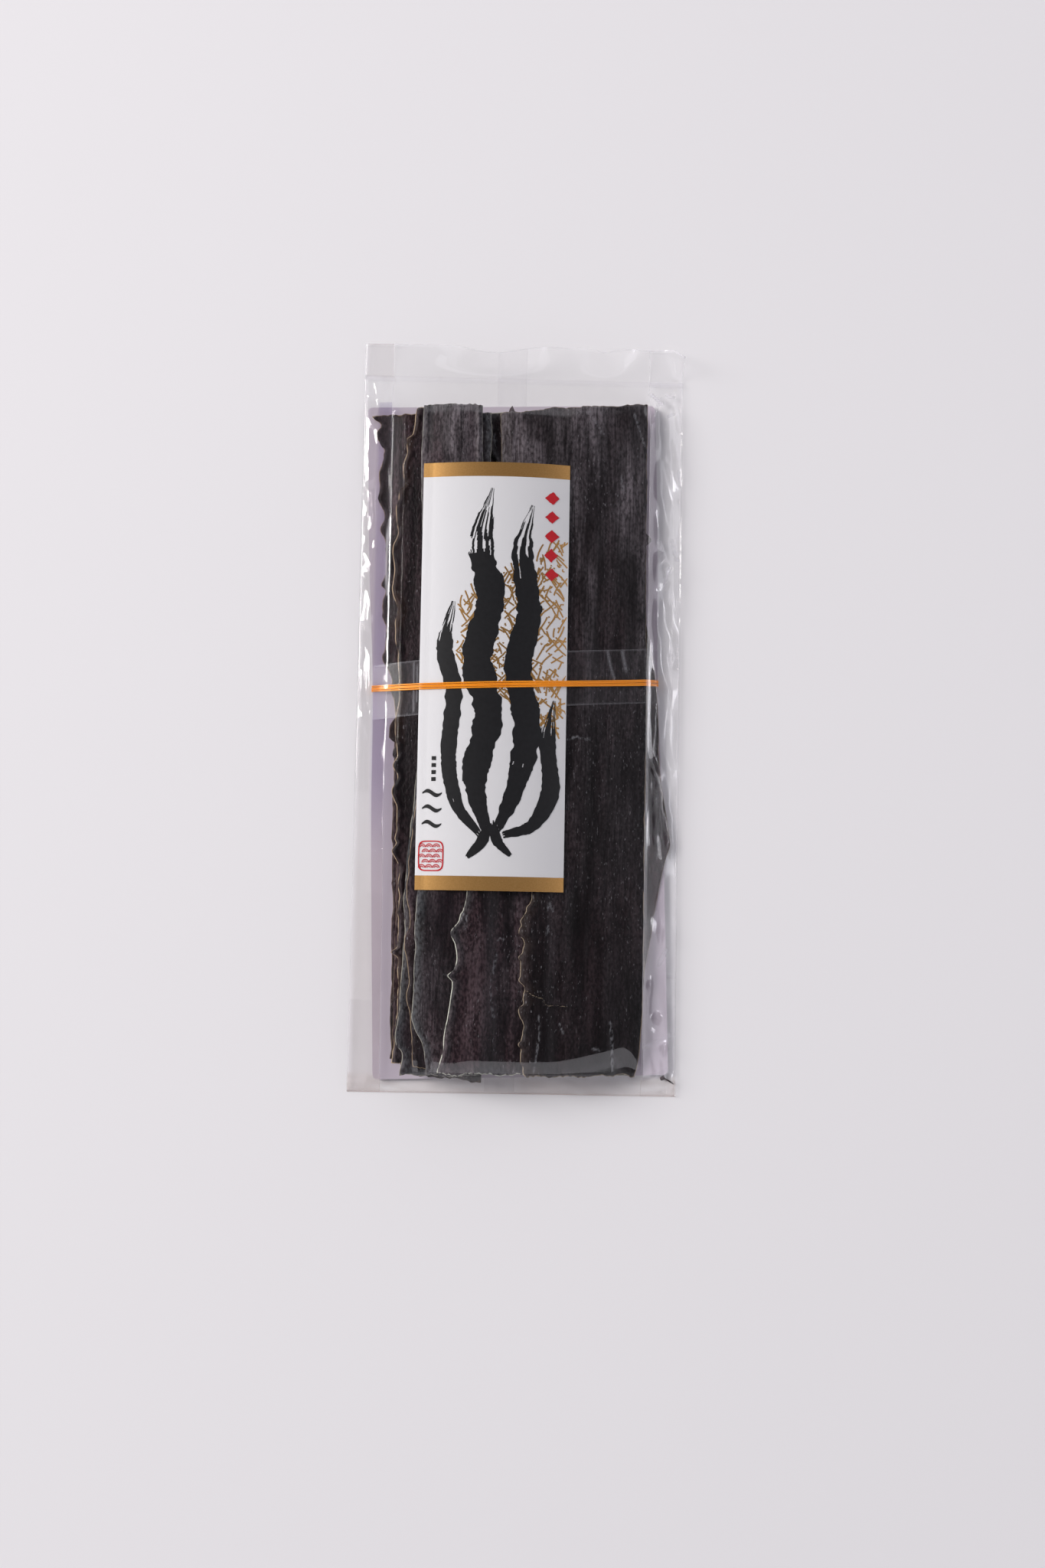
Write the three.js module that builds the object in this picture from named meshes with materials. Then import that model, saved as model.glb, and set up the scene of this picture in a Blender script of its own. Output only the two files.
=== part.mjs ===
// A retail pack of dried kelp: a flat stack of cut kelp strips on a card, tied, labelled
// and sealed in a clear gusseted bag. The bag is modelled as one closed solid of its outer
// shape, lying on its flat back with the labelled front up.
// Millimetres. X runs across the pack, Y towards its open flap, Z out of its front.
import * as THREE from 'three';

// Bag, laid flat
const BAG_WIDTH = 160;
const BAG_LENGTH = 372;
const SEAL_TO_TOP = 17; // loose flap above the heat seal
const EDGE_THICKNESS = 1.6; // folded side edges, pressed shut
const FLAP_THICKNESS = 1.2;
const SEAL_FADE = 3; // the flap thins out over this length above the seal

// Stack of kelp strips under the film
const CROWN_HEIGHT = 22.35; // highest point of the front
const CROWN_X = -9;
const BOW_HALF_WIDTH = 36; // the middle of the stack is bowed as an arc
const BOW_RADIUS = 120;
const SHOULDER_SLOPE = 0.24; // beyond the arc the stack falls away evenly
const STACK_TOP_Y = 149;
const STACK_BOTTOM_Y = -176.5;

// The bag's sides are folded in. Each inner crease stands beside the stack, and from there the
// film runs straight down to the bag's edge. Places are distances from the middle.
const LEFT_FOLD = { stackSide: 58, crease: 65, creaseHeight: 5.3 };
const RIGHT_FOLD = { stackSide: 60, crease: 63, creaseHeight: 9.2 };

// The label is pressed flat into the front, and the kelp rises a little round it
const LABEL_ZONE = { left: -51, right: 24.5, bottom: -89, top: 123 };
const LABEL_DEPTH = 1.3;
const LABEL_EASE = 7;

// Kelp ridges that show through the film as long soft ripples
const RIPPLE_HEIGHT = 0.2;
const RIPPLE_SPACING = 17;
const RIPPLE_WANDER = 2.5; // the ridges swing sideways this far
const RIPPLE_WANDER_LENGTH = 210;

// Heat seal: two pressed beads
const BEAD_HEIGHT = 0.5;
const BEAD_SPACING = 3;
const BEAD_WIDTH = 1.5;

// Curl of the loose flap, as places across the pack where it lifts most
const FLAP_CURLS = [
  { x: -16, lift: 62, halfWidth: 26 },
  { x: 40, lift: 52, halfWidth: 12 },
  { x: 80, lift: 60, halfWidth: 6 },
];
const FLAP_BEND_LENGTH = 7; // the flap bends over this length, then runs straight
const LEAST_LIFT = 1e-4; // in radians, and below it the flap is flat

const HALF_WIDTH = BAG_WIDTH / 2;
const TOP_Y = BAG_LENGTH / 2;
const BOTTOM_Y = -BAG_LENGTH / 2;
const SEAL_Y = TOP_Y - SEAL_TO_TOP;

// Mesh grid: steps up to each of these places across and along the pack
const COLUMN_SPANS = [
  { to: -LEFT_FOLD.crease, steps: 5 },
  { to: -LEFT_FOLD.stackSide, steps: 2 },
  { to: RIGHT_FOLD.crease, steps: 24 },
  { to: HALF_WIDTH, steps: 5 },
];
const ROW_SPANS = [
  { to: STACK_BOTTOM_Y, steps: 4 },
  { to: STACK_TOP_Y, steps: 42 },
  { to: SEAL_Y, steps: 6 },
  { to: TOP_Y, steps: 8 },
];

const { clamp, degToRad, smoothstep } = THREE.MathUtils;

function bump(distance, halfWidth) {
  return Math.exp(-((distance / halfWidth) ** 2));
}

function labelDip(x, y) {
  const pastZone = Math.max(
    LABEL_ZONE.left - x,
    x - LABEL_ZONE.right,
    LABEL_ZONE.bottom - y,
    y - LABEL_ZONE.top,
  );
  return LABEL_DEPTH * (1 - smoothstep(pastZone, 0, LABEL_EASE));
}

// Height of the stack's own surface where nothing pulls the film down
function stackHeight(x, y) {
  const fromCrown = Math.abs(x - CROWN_X);
  const alongArc = Math.min(fromCrown, BOW_HALF_WIDTH);
  const bowDrop = BOW_RADIUS - Math.sqrt(BOW_RADIUS ** 2 - alongArc ** 2);
  const shoulderDrop = SHOULDER_SLOPE * Math.max(0, fromCrown - BOW_HALF_WIDTH);
  const wander = RIPPLE_WANDER * Math.sin((2 * Math.PI * y) / RIPPLE_WANDER_LENGTH);
  const ripple = RIPPLE_HEIGHT * Math.cos((2 * Math.PI * (x + wander)) / RIPPLE_SPACING);
  return CROWN_HEIGHT - RIPPLE_HEIGHT - bowDrop - shoulderDrop - labelDip(x, y) + ripple;
}

// Height of the front across the pack, between the ends of the stack
function acrossHeight(x, y) {
  const fold = x < CROWN_X ? LEFT_FOLD : RIGHT_FOLD;
  const fromMiddle = Math.abs(x);
  const toEdge = clamp((HALF_WIDTH - fromMiddle) / (HALF_WIDTH - fold.crease), 0, 1);
  const margin = EDGE_THICKNESS + (fold.creaseHeight - EDGE_THICKNESS) * toEdge;
  const offStack = smoothstep(fromMiddle, fold.stackSide, fold.crease);
  return stackHeight(x, y) * (1 - offStack) + margin * offStack;
}

// Share of that height that the taut film keeps: 1 along the stack, 0 at the bag's ends
function endShare(y) {
  const top = clamp((SEAL_Y - y) / (SEAL_Y - STACK_TOP_Y), 0, 1);
  const bottom = clamp((y - BOTTOM_Y) / (STACK_BOTTOM_Y - BOTTOM_Y), 0, 1);
  return top * bottom;
}

function sealBeads(y) {
  const lower = bump(y - SEAL_Y + BEAD_SPACING / 2, BEAD_WIDTH);
  const upper = bump(y - SEAL_Y - BEAD_SPACING / 2, BEAD_WIDTH);
  return BEAD_HEIGHT * (lower + upper);
}

function frontHeight(x, y) {
  const raised = (acrossHeight(x, y) - EDGE_THICKNESS) * endShare(y);
  return EDGE_THICKNESS + raised + sealBeads(y);
}

// Steepest angle of the flap at a place across the pack
function flapLift(x) {
  const lift = FLAP_CURLS.reduce(
    (most, curl) => Math.max(most, curl.lift * bump(x - curl.x, curl.halfWidth)),
    0,
  );
  return degToRad(lift);
}

// A point of the flap, a given length of film above the seal
function flapPoint(x, length) {
  const lift = flapLift(x);
  const bent = Math.min(length, FLAP_BEND_LENGTH);
  const straight = length - bent;
  const reached = (lift * bent) / FLAP_BEND_LENGTH;
  const radius = lift > LEAST_LIFT ? FLAP_BEND_LENGTH / lift : 0;
  const bentY = radius > 0 ? radius * Math.sin(reached) : bent;
  const bentZ = radius > 0 ? radius * (1 - Math.cos(reached)) : 0;
  return {
    y: SEAL_Y + bentY + straight * Math.cos(reached),
    z: bentZ + straight * Math.sin(reached),
  };
}

// Places of the grid's lines, with each span shared out evenly
function gridPlaces(start, spans) {
  const places = [start];
  spans.forEach(({ to, steps }) => {
    const from = places[places.length - 1];
    for (let step = 1; step <= steps; step += 1) {
      places.push(from + ((to - from) * step) / steps);
    }
  });
  return places;
}

const COLUMN_PLACES = gridPlaces(-HALF_WIDTH, COLUMN_SPANS);
const ROW_PLACES = gridPlaces(BOTTOM_Y, ROW_SPANS);
const COLUMNS = COLUMN_PLACES.length - 1;
const ROWS = ROW_PLACES.length - 1;

function placeCorner(column, row, isFront) {
  const x = COLUMN_PLACES[column];
  const flatY = ROW_PLACES[row];
  if (flatY <= SEAL_Y) {
    return [x, flatY, isFront ? frontHeight(x, flatY) : 0];
  }
  const length = flatY - SEAL_Y;
  const film = flapPoint(x, length);
  const thickness = FLAP_THICKNESS + (EDGE_THICKNESS - FLAP_THICKNESS) * bump(length, SEAL_FADE);
  return [x, film.y, film.z + (isFront ? thickness + sealBeads(flatY) : 0)];
}

function sealedBag() {
  const geometry = new THREE.BoxGeometry(BAG_WIDTH, BAG_LENGTH, 1, COLUMNS, ROWS, 1);
  const position = geometry.attributes.position;
  for (let i = 0; i < position.count; i += 1) {
    const column = Math.round((position.getX(i) / BAG_WIDTH + 0.5) * COLUMNS);
    const row = Math.round((position.getY(i) / BAG_LENGTH + 0.5) * ROWS);
    const corner = placeCorner(column, row, position.getZ(i) > 0);
    position.setXYZ(i, ...corner);
  }
  const film = new THREE.MeshStandardMaterial({
    color: 0x453d41,
    roughness: 0.3,
    metalness: 0,
  });
  const mesh = new THREE.Mesh(geometry, film);
  mesh.name = 'sealed_bag';
  return mesh;
}

const kelpPack = new THREE.Group();
kelpPack.add(sealedBag());

export default kelpPack;
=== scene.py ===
import math

import bpy
import numpy as np
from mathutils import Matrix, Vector


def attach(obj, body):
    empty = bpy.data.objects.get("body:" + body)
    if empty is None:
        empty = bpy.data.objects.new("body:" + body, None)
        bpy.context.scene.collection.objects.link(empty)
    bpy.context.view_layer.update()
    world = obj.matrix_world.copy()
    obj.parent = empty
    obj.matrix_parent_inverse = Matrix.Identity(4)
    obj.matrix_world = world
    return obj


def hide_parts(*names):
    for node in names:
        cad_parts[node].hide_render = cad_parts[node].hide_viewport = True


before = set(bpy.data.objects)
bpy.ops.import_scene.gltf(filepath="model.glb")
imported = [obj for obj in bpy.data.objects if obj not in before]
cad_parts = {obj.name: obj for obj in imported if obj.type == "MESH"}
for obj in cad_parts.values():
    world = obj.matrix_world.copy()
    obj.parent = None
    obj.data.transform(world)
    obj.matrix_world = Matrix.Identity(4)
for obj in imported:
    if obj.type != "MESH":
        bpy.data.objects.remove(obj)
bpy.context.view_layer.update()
MM = 0.001  # places are metres in the scene, and sizes below are millimetres


# Backing card. A sheet of stiff board with a pale coated face, cut with small round corners.
# It lies loose at the back of the pack, and the tie pulls its long edges in a little.

CARD_WIDTH = 144.0
CARD_LENGTH = 333.0
CARD_CENTRE = (-0.8, -11.2)
CARD_TURN = math.radians(1.79)
CARD_BOTTOM = 1.6
CARD_TOP = 2.2
CARD_CORNER = 2.5
CARD_WAIST = 1.5  # how far each long edge is pulled in
CARD_WAIST_Y = 24.0  # from the card's middle
CARD_WAIST_LENGTH = 45.0


def linear(hex_colour):
    """Turns an sRGB colour such as "bfb3bb" into the linear one that shaders take."""
    parts = [int(hex_colour[i:i + 2], 16) / 255 for i in (0, 2, 4)]
    return [p / 12.92 if p <= 0.04045 else ((p + 0.055) / 1.055) ** 2.4 for p in parts] + [1.0]


def bare_nodes(holder):
    """Empties the node tree of a new material or world."""
    holder.use_nodes = True
    holder.node_tree.nodes.clear()
    return holder


def add_node(holder, kind, sockets=None, out=0, **settings):
    """Adds a node and gives an output of it. sockets maps an input to its value or its source."""
    made = holder.node_tree.nodes.new("ShaderNode" + kind)
    for name, value in settings.items():
        setattr(made, name, value)
    for socket, value in (sockets or {}).items():
        if isinstance(value, bpy.types.NodeSocket):
            holder.node_tree.links.new(value, made.inputs[socket])
        else:
            made.inputs[socket].default_value = value
    return made.outputs[out] if made.outputs else None


def mottled(name, thin, full, size, detail, gloss):
    """A finish that drifts between two colours, in clouds of a size in millimetres."""
    finish = bare_nodes(bpy.data.materials.new(name))
    place = add_node(finish, "TexCoord", out="Object")
    cloud = add_node(finish, "TexNoise", {"Vector": place, "Scale": 1 / (size * MM), "Detail": detail})
    tones = {"Factor": cloud, "A": linear(thin), "B": linear(full)}
    tone = add_node(finish, "Mix", tones, out="Result", data_type="RGBA")
    shader = add_node(finish, "BsdfPrincipled", {"Base Color": tone, **gloss})
    add_node(finish, "OutputMaterial", {"Surface": shader})
    return finish


def finish_piece(piece, material):
    """Gives a finished mesh its material and ties it to the pack's solid."""
    piece.data.materials.clear()
    piece.data.materials.append(material)
    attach(piece, "root")
    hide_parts("sealed_bag")


def set_mode(mode):
    bpy.ops.object.mode_set(mode=mode)


def select_edges(piece, is_wanted):
    """Goes into edit mode with those edges selected whose start and run, in metres, are wanted."""
    set_mode("EDIT")
    bpy.ops.mesh.select_mode(type="EDGE")
    bpy.ops.mesh.select_all(action="DESELECT")
    set_mode("OBJECT")
    for edge in piece.data.edges:
        start, end = (piece.data.vertices[i].co for i in edge.vertices)
        edge.select = bool(is_wanted(start, end - start))
    set_mode("EDIT")


bpy.ops.object.select_all(action="DESELECT")
card_size = (CARD_WIDTH * MM, CARD_LENGTH * MM, (CARD_TOP - CARD_BOTTOM) * MM)
bpy.ops.mesh.primitive_cube_add(size=1, scale=card_size)
card = bpy.context.active_object
card.name = "backing_card"
bpy.ops.object.transform_apply(scale=True)
select_edges(card, lambda start, run: abs(run.y) > card_size[1] / 2)
bpy.ops.mesh.subdivide(number_cuts=80)
set_mode("OBJECT")
select_edges(card, lambda start, run: abs(run.z) > card_size[2] / 2 and abs(start.y) > 0.499 * card_size[1])
bpy.ops.mesh.bevel(offset=CARD_CORNER * MM, segments=6)
set_mode("OBJECT")
for corner in card.data.vertices:
    from_waist = (corner.co.y / MM - CARD_WAIST_Y) / CARD_WAIST_LENGTH
    corner.co.x *= 1 - CARD_WAIST / (CARD_WIDTH / 2) * math.exp(-(from_waist ** 2))
card.rotation_euler.z = CARD_TURN
card.location = (CARD_CENTRE[0] * MM, CARD_CENTRE[1] * MM, (CARD_BOTTOM + CARD_TOP) / 2 * MM)
bpy.ops.object.transform_apply(location=True, rotation=True)

# Coated board: an even satin face with a faint cloudiness from the pulp.
board = mottled("coated_board", "c3b9c5", "b7adbb", 25.0, 3.0, {"Roughness": 0.5})
finish_piece(card, board)


# Kelp strips. Whole blades of kelp, dried flat and cut to one length, stacked on the card.
# Each is a leathery sheet, thick along its middle, with thin wavy margins and torn ends.

STRIP_TOP = 151.0
STRIP_BOTTOM = -176.0
MARGIN_THICKNESS = 0.6
MARGIN_SHARE = 0.18  # a strip thickens over this share of its width
RUFFLE_IN, RUFFLE_HALF = 1.7, 1.4  # its ruffle stands this far in from its side, this broad
FRILL_Y = -88.0  # the front edge is frilled below this
RIDGES, FINE_RIDGES = (9, 55), (3.5, 22)  # spacing across and along
PLAN_STEP = 1.0  # the stack's height is kept on a plan of this step

plan_x, plan_y = np.meshgrid(np.arange(-82.0, 83.0, PLAN_STEP), np.arange(-188.0, 189.0, PLAN_STEP))


def ease(value):
    """0 below 0, 1 above 1 and smooth between."""
    share = np.clip(value, 0, 1)
    return share * share * (3 - 2 * share)


def soft_wave(along, spacing, seed):
    """A smooth random wave from -1 to 1 with its humps about a spacing apart."""
    knots = np.random.default_rng(seed).uniform(-1, 1, 256)
    place = np.asarray(along, float) / spacing + 97.3
    before = np.floor(place).astype(int)
    share = ease(place - before)
    return knots[before % 256] * (1 - share) + knots[(before + 1) % 256] * share


def cell_at(table, column, row):
    """The four corners of a table's cell, and how far across and up that cell a place is."""
    left, below = np.floor(column).astype(int), np.floor(row).astype(int)
    rows, columns = table.shape
    corners = [table[(below + j) % rows, (left + i) % columns] for j in (0, 1) for i in (0, 1)]
    return corners, column - left, row - below


def blended(corners, across, up):
    low = corners[0] * (1 - across) + corners[1] * across
    high = corners[2] * (1 - across) + corners[3] * across
    return low * (1 - up) + high * up


def random_table(seed):
    return np.random.default_rng(seed).uniform(-1, 1, (64, 64))


def soft_relief(x, y, spacing_x, spacing_y, seed):
    """A smooth random surface from -1 to 1, with its own hump spacing each way."""
    corners, across, up = cell_at(random_table(seed), x / spacing_x + 31.7, y / spacing_y + 29.1)
    return blended(corners, ease(across), ease(up))


def height_on(plan, x, y):
    """Reads a plan of heights between its cells."""
    column = np.clip((x - plan_x[0, 0]) / PLAN_STEP, 0, plan.shape[1] - 1.001)
    row = np.clip((y - plan_y[0, 0]) / PLAN_STEP, 0, plan.shape[0] - 1.001)
    return blended(*cell_at(plan, column, row))


def line_through(points):
    """A smooth line through (y, x) points, as a function that gives x at any y."""
    ordered = np.array(sorted(points), float)
    rises = np.diff(ordered[:, 1]) / np.diff(ordered[:, 0])
    both = rises[:-1] * rises[1:]
    slopes = np.concatenate((rises[:1], np.where(both > 0, 2 * both, 0), rises[-1:]))
    slopes[1:-1] /= np.where(both > 0, rises[:-1] + rises[1:], 1)

    def at(y):
        y = np.clip(y, ordered[0, 0], ordered[-1, 0])
        after = np.clip(np.searchsorted(ordered[:, 0], y), 1, len(ordered) - 1)
        y0, x0, s0 = ordered[after - 1, 0], ordered[after - 1, 1], slopes[after - 1]
        y1, x1, s1 = ordered[after, 0], ordered[after, 1], slopes[after]
        step = y1 - y0
        t = (y - y0) / step
        from_start = x0 * (1 + 2 * t) + s0 * step * t
        from_end = x1 * (3 - 2 * t) + s1 * step * (t - 1)
        return from_start * (1 - t) ** 2 + from_end * t * t

    return at


def blurred(plan, reach_x, reach_y):
    """Smooths a plan over this many cells each way."""
    for axis, reach in ((1, reach_x), (0, reach_y)):
        cells = range(-reach, reach + 1)
        shares = [math.exp(-((c / (0.6 * reach)) ** 2)) for c in cells]
        plan = sum(s * np.roll(plan, c, axis) for s, c in zip(shares, cells)) / sum(shares)
    return plan


def drape(plan, covered, reach_x, reach_y):
    """How high a stiff sheet lies where it covers the plan: on the tops, easing down between."""
    raised = np.where(covered, plan, 0.0)
    for axis, reach in ((1, reach_x), (0, reach_y)):
        raised = np.max([np.roll(raised, c, axis) for c in range(-reach, reach + 1)], axis=0)
    weight = blurred(covered.astype(float), reach_x, reach_y)
    return blurred(raised * covered, reach_x, reach_y) / np.maximum(weight, 1e-9)


def corner_places(piece):
    """A mesh's x, y and z, in metres."""
    places = np.empty(len(piece.data.vertices) * 3)
    piece.data.vertices.foreach_get("co", places)
    return places.reshape(-1, 3).T


def grid_piece(name, columns, rows):
    """Adds a flat grid, and gives it with its corners' places across and along it, 0 to 1."""
    bpy.ops.object.select_all(action="DESELECT")
    bpy.ops.mesh.primitive_grid_add(x_subdivisions=columns, y_subdivisions=rows, size=2)
    piece = bpy.context.active_object
    piece.name = name
    across, along, _ = corner_places(piece) / 2 + 0.5
    return piece, across, along


def place_corners(piece, x, y, z):
    """Moves a mesh's corners to these places in millimetres."""
    piece.data.vertices.foreach_set("co", (np.column_stack((x, y, z)) * MM).ravel())
    piece.data.update()


def mark(piece, **marks):
    """Stores a number for each corner, or one for all of them, for the piece's material to read."""
    for name, values in marks.items():
        layer = piece.data.attributes.new(name, "FLOAT", "POINT")
        every = np.zeros(len(piece.data.vertices)) + values
        layer.data.foreach_set("value", every.astype(np.float32))


def thicken(piece, thickness, shares):
    """Gives a surface its thickness downwards, each corner with its share of the whole."""
    group = piece.vertex_groups.new(name="thickness")
    steps = np.round(shares * 20).astype(int)
    for step in np.unique(steps):
        group.add(np.flatnonzero(steps == step).tolist(), step / 20, "REPLACE")
    solid = piece.modifiers.new("thickness", "SOLIDIFY")
    solid.thickness = thickness * MM
    solid.offset = -1
    solid.vertex_group = group.name
    bpy.ops.object.modifier_apply(modifier=solid.name)
    piece.vertex_groups.clear()


# Dried kelp: near-black leather with fine lengthwise fibres and grain. A pale salty bloom lies on its
# ridges in dashes and specks, laid on thicker towards the tops of the front strips as painted sheen.
# Its thin margins are red-brown, and its cut rims are worn tan, painted pale cream where marked pale:
# a painted highlight on the lit rims.
kelp = bare_nodes(bpy.data.materials.new("dried_kelp"))
place = add_node(kelp, "TexCoord", out="Object")
fields = {}
KELP_NOISES = (  # name, width and length of a grain in millimetres, and detail
    ("fibres", 0.9, 16, 4), ("bands", 5, 40, 3), ("folds", 13, 80, 2), ("clouds", 20, 36, 3),
    ("hues", 11, 28, 2), ("grain", 1.1, 2.2, 3), ("flecks", 0.7, 2.4, 2), ("breaks", 1.6, 8, 2),
)
for name, width, length, detail in KELP_NOISES:
    grain_scale = (1 / (width * MM), 1 / (length * MM), 1 / (width * MM))
    stretched = add_node(kelp, "Mapping", {"Vector": place, "Scale": grain_scale})
    noise = {"Vector": stretched, "Scale": 1.0, "Detail": detail}
    fields[name] = add_node(kelp, "TexNoise", noise)
for name in ("bloom", "ridge", "scuff", "from_edge", "rim_place", "rim", "frost", "pale", "brown", "dark"):
    fields[name] = add_node(kelp, "Attribute", out="Fac", attribute_name=name)


def strength_of(factors):
    """Multiplies factors: a number, a field, or a field with where it starts and where it is full."""
    strength = 1.0
    for factor in factors:
        if isinstance(factor, tuple):
            name, start, full = factor
            span = {"Value": fields[name], "From Min": start, "From Max": full}
            factor = add_node(kelp, "MapRange", span, interpolation_type="SMOOTHSTEP")
        pair = {0: strength, 1: fields.get(factor, factor)}
        strength = add_node(kelp, "Math", pair, operation="MULTIPLY")
    return strength


tone = 0.0
for factors in (
    (("grain", 0.36, 0.66), 0.33), (("fibres", 0.36, 0.66), 0.06),
    (("bands", 0.36, 0.66), 0.21), (("folds", 0.4, 0.6), 0.4),
):
    tone = add_node(kelp, "Math", {0: tone, 1: strength_of(factors)}, operation="ADD")
colour = add_node(kelp, "ValToRGB", {"Fac": tone})
stops = colour.node.color_ramp.elements
stops[0].position, stops[0].color = 0.15, linear("080306")
stops[1].position, stops[1].color = 0.95, linear("46353a")
stops.new(0.5).color = linear("190c11")
# Rim colour: worn tan where pale is 0, pale cream where it is 1. The pale cream is a painted highlight on
# the lit rims.
rim_tones = {"Factor": fields["pale"], "A": linear("8f7355"), "B": linear("bfc0b4")}
worn_and_lit_rim = add_node(kelp, "Mix", rim_tones, out="Result", data_type="RGBA")
# Coats over the base tone. Where a strip's bloom is large, the bloom coat is painted sheen as well as bloom,
# and the rim coat's pale cream is a painted highlight.
KELP_COATS = (
    (linear("1c141a"), (("hues", 0.45, 0.65), 0.4)),
    (linear("060304"), ("dark",)),
    (linear("6a6368"), ("bloom", ("ridge", -0.6, 1.0), ("clouds", 0.0, 0.8), ("bands", 0.2, 0.66),
                        ("fibres", 0.1, 0.8), ("grain", 0.1, 0.75))),
    (linear("2c1d16"), (("from_edge", 6.5, 1.0), ("clouds", 0.45, 0.62), "brown")),
    (linear("8d8b90"), (("flecks", 0.63, 0.75), ("clouds", 0.4, 0.58), 0.45)),
    (linear("7f8085"), ("scuff", ("grain", 0.38, 0.62))),
    (linear("6a7074"), (("from_edge", 6.0, 0.6), "frost", ("grain", 0.2, 0.7), 0.5)),
    (worn_and_lit_rim, (("rim_place", 1.0, 0.35), ("breaks", 0.34, 0.52), "rim")),
)
for coat, factors in KELP_COATS:
    coated = {"Factor": strength_of(factors), "A": colour, "B": coat}
    colour = add_node(kelp, "Mix", coated, out="Result", data_type="RGBA")
bump = add_node(kelp, "Bump", {"Height": tone, "Strength": 0.8, "Distance": 0.3 * MM})
leather = {"Base Color": colour, "Roughness": 0.5, "Specular IOR Level": 0.1, "Normal": bump}
add_node(kelp, "OutputMaterial", {"Surface": add_node(kelp, "BsdfPrincipled", leather)})

from_card_x, from_card_y = plan_x - CARD_CENTRE[0], plan_y - CARD_CENTRE[1]
card_x = from_card_x * math.cos(CARD_TURN) + from_card_y * math.sin(CARD_TURN)
card_y = from_card_y * math.cos(CARD_TURN) - from_card_x * math.sin(CARD_TURN)
on_card = (np.abs(card_x) < CARD_WIDTH / 2) & (np.abs(card_y) < CARD_LENGTH / 2)
BARE_HEIGHT = 0.4  # where nothing lies yet
TEAR_LIFT, TEAR_FADE, TEAR_END = 1.3, 9.0, 34.0  # a torn lip's height, reach and last x
BELOW_ANY_TEAR = -9.0
stack = np.where(on_card, CARD_TOP, BARE_HEIGHT)
strips = []


def near_line(x, y, points, half_width):
    """1 on a line through these points, fading to 0 at its half width."""
    nearest = np.full(np.shape(x), 1e9)
    for (x0, y0), (x1, y1) in zip(points, points[1:]):
        run_x, run_y = x1 - x0, y1 - y0
        share = np.clip(((x - x0) * run_x + (y - y0) * run_y) / (run_x ** 2 + run_y ** 2), 0, 1)
        nearest = np.minimum(nearest, np.hypot(x - x0 - share * run_x, y - y0 - share * run_y))
    return ease(1.3 - nearest / half_width)


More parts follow.
